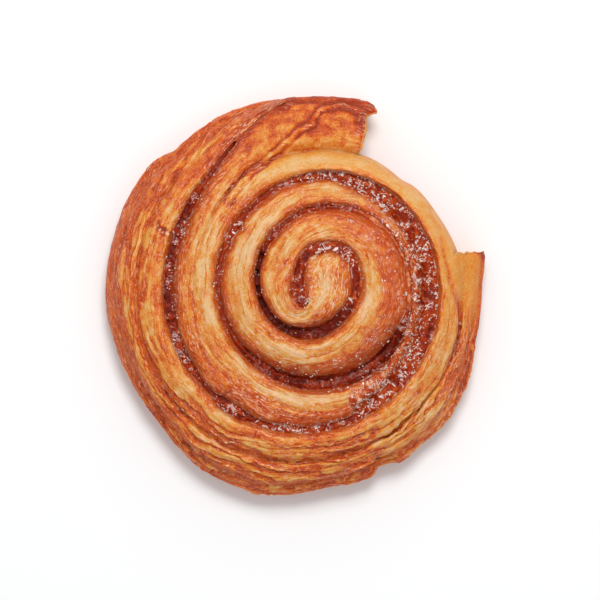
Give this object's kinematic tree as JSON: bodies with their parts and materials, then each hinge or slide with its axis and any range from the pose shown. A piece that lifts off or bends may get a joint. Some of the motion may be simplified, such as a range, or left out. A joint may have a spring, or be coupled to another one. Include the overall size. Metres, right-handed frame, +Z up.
{
  "type": "cinnamon roll",
  "caption": "Low domed spiral pastry of laminated dough with a dark cinnamon layer between its turns, a cut tail end and a wrap that starts at a step.",
  "frame": {"origin": "on the plane the roll lies on, under the middle of its outline", "axes": "+Z up, +Y towards the side where the tail end is cut off, which is the top of the picture, +X to the right of the picture, where the outer wrap starts"},
  "size_m": [0.1138, 0.119, 0.0322],
  "materials": {
    "dough": "baked, egg-washed crust",
    "cinnamon_layer": "sticky, glossy baked sugar"
  },
  "bodies": {
    "root": {"dough": "dough", "cinnamon_layer": "cinnamon_layer"}
  },
  "joints": []
}
